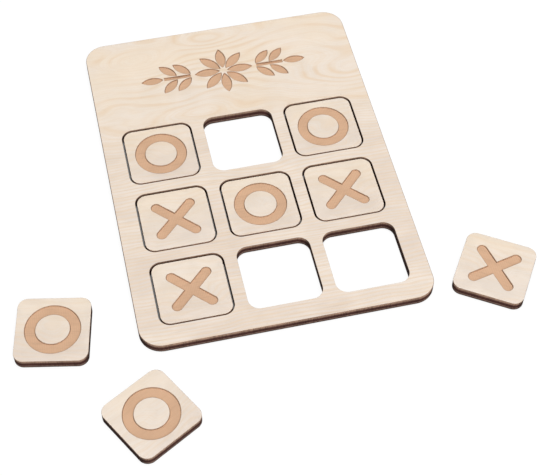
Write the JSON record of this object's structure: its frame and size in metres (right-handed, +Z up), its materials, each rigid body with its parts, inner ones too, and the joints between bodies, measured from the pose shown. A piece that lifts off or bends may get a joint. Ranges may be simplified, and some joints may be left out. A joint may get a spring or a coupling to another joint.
{
  "type": "tic tac toe set",
  "caption": "Portrait plywood game board with a header and a square grid of windows that hold loose square tiles engraved with a ring or a cross.",
  "frame": {"origin": "centre of the board's outline, on the underside that rests on the table", "axes": "+X to the board's right, +Y up the board towards its header, +Z up from the table, through the board's thickness"},
  "size_m": [0.2014, 0.1996, 0.004],
  "materials": {
    "face_ply": "pale birch veneer, sanded and unfinished, laser cut edge",
    "core_ply": "cross-grain core veneer, laser-browned at its edge",
    "back_ply": "birch back veneer, sanded and unfinished, laser cut edge"
  },
  "bodies": {
    "board": {"board_face_ply": "face_ply", "board_core_ply": "core_ply", "board_back_ply": "back_ply"},
    "o_tile_1": {"o_tile_1_face_ply": "face_ply", "o_tile_1_core_ply": "core_ply", "o_tile_1_back_ply": "back_ply"},
    "o_tile_2": {"o_tile_2_face_ply": "face_ply", "o_tile_2_core_ply": "core_ply", "o_tile_2_back_ply": "back_ply"},
    "x_tile_1": {"x_tile_1_face_ply": "face_ply", "x_tile_1_core_ply": "core_ply", "x_tile_1_back_ply": "back_ply"},
    "o_tile_3": {"o_tile_3_face_ply": "face_ply", "o_tile_3_core_ply": "core_ply", "o_tile_3_back_ply": "back_ply"},
    "x_tile_2": {"x_tile_2_face_ply": "face_ply", "x_tile_2_core_ply": "core_ply", "x_tile_2_back_ply": "back_ply"},
    "x_tile_3": {"x_tile_3_face_ply": "face_ply", "x_tile_3_core_ply": "core_ply", "x_tile_3_back_ply": "back_ply"},
    "o_tile_4": {"o_tile_4_face_ply": "face_ply", "o_tile_4_core_ply": "core_ply", "o_tile_4_back_ply": "back_ply"},
    "o_tile_5": {"o_tile_5_face_ply": "face_ply", "o_tile_5_core_ply": "core_ply", "o_tile_5_back_ply": "back_ply"},
    "x_tile_4": {"x_tile_4_face_ply": "face_ply", "x_tile_4_core_ply": "core_ply", "x_tile_4_back_ply": "back_ply"}
  },
  "joints": [
    {"name": "o_tile_1_lift", "type": "slide", "parent": "board", "child": "o_tile_1", "axis": [0, 0, 1], "range_m": [0, 0.015]},
    {"name": "o_tile_2_lift", "type": "slide", "parent": "board", "child": "o_tile_2", "axis": [0, 0, 1], "range_m": [0, 0.015]},
    {"name": "x_tile_1_lift", "type": "slide", "parent": "board", "child": "x_tile_1", "axis": [0, 0, 1], "range_m": [0, 0.015]},
    {"name": "o_tile_3_lift", "type": "slide", "parent": "board", "child": "o_tile_3", "axis": [0, 0, 1], "range_m": [0, 0.015]},
    {"name": "x_tile_2_lift", "type": "slide", "parent": "board", "child": "x_tile_2", "axis": [0, 0, 1], "range_m": [0, 0.015]},
    {"name": "x_tile_3_lift", "type": "slide", "parent": "board", "child": "x_tile_3", "axis": [0, 0, 1], "range_m": [0, 0.015]},
    {"name": "o_tile_4_lift", "type": "slide", "parent": "board", "child": "o_tile_4", "axis": [0, 0, 1], "range_m": [0, 0.015]},
    {"name": "o_tile_5_lift", "type": "slide", "parent": "board", "child": "o_tile_5", "axis": [0, 0, 1], "range_m": [0, 0.015]},
    {"name": "x_tile_4_lift", "type": "slide", "parent": "board", "child": "x_tile_4", "axis": [0, 0, 1], "range_m": [0, 0.015]}
  ]
}
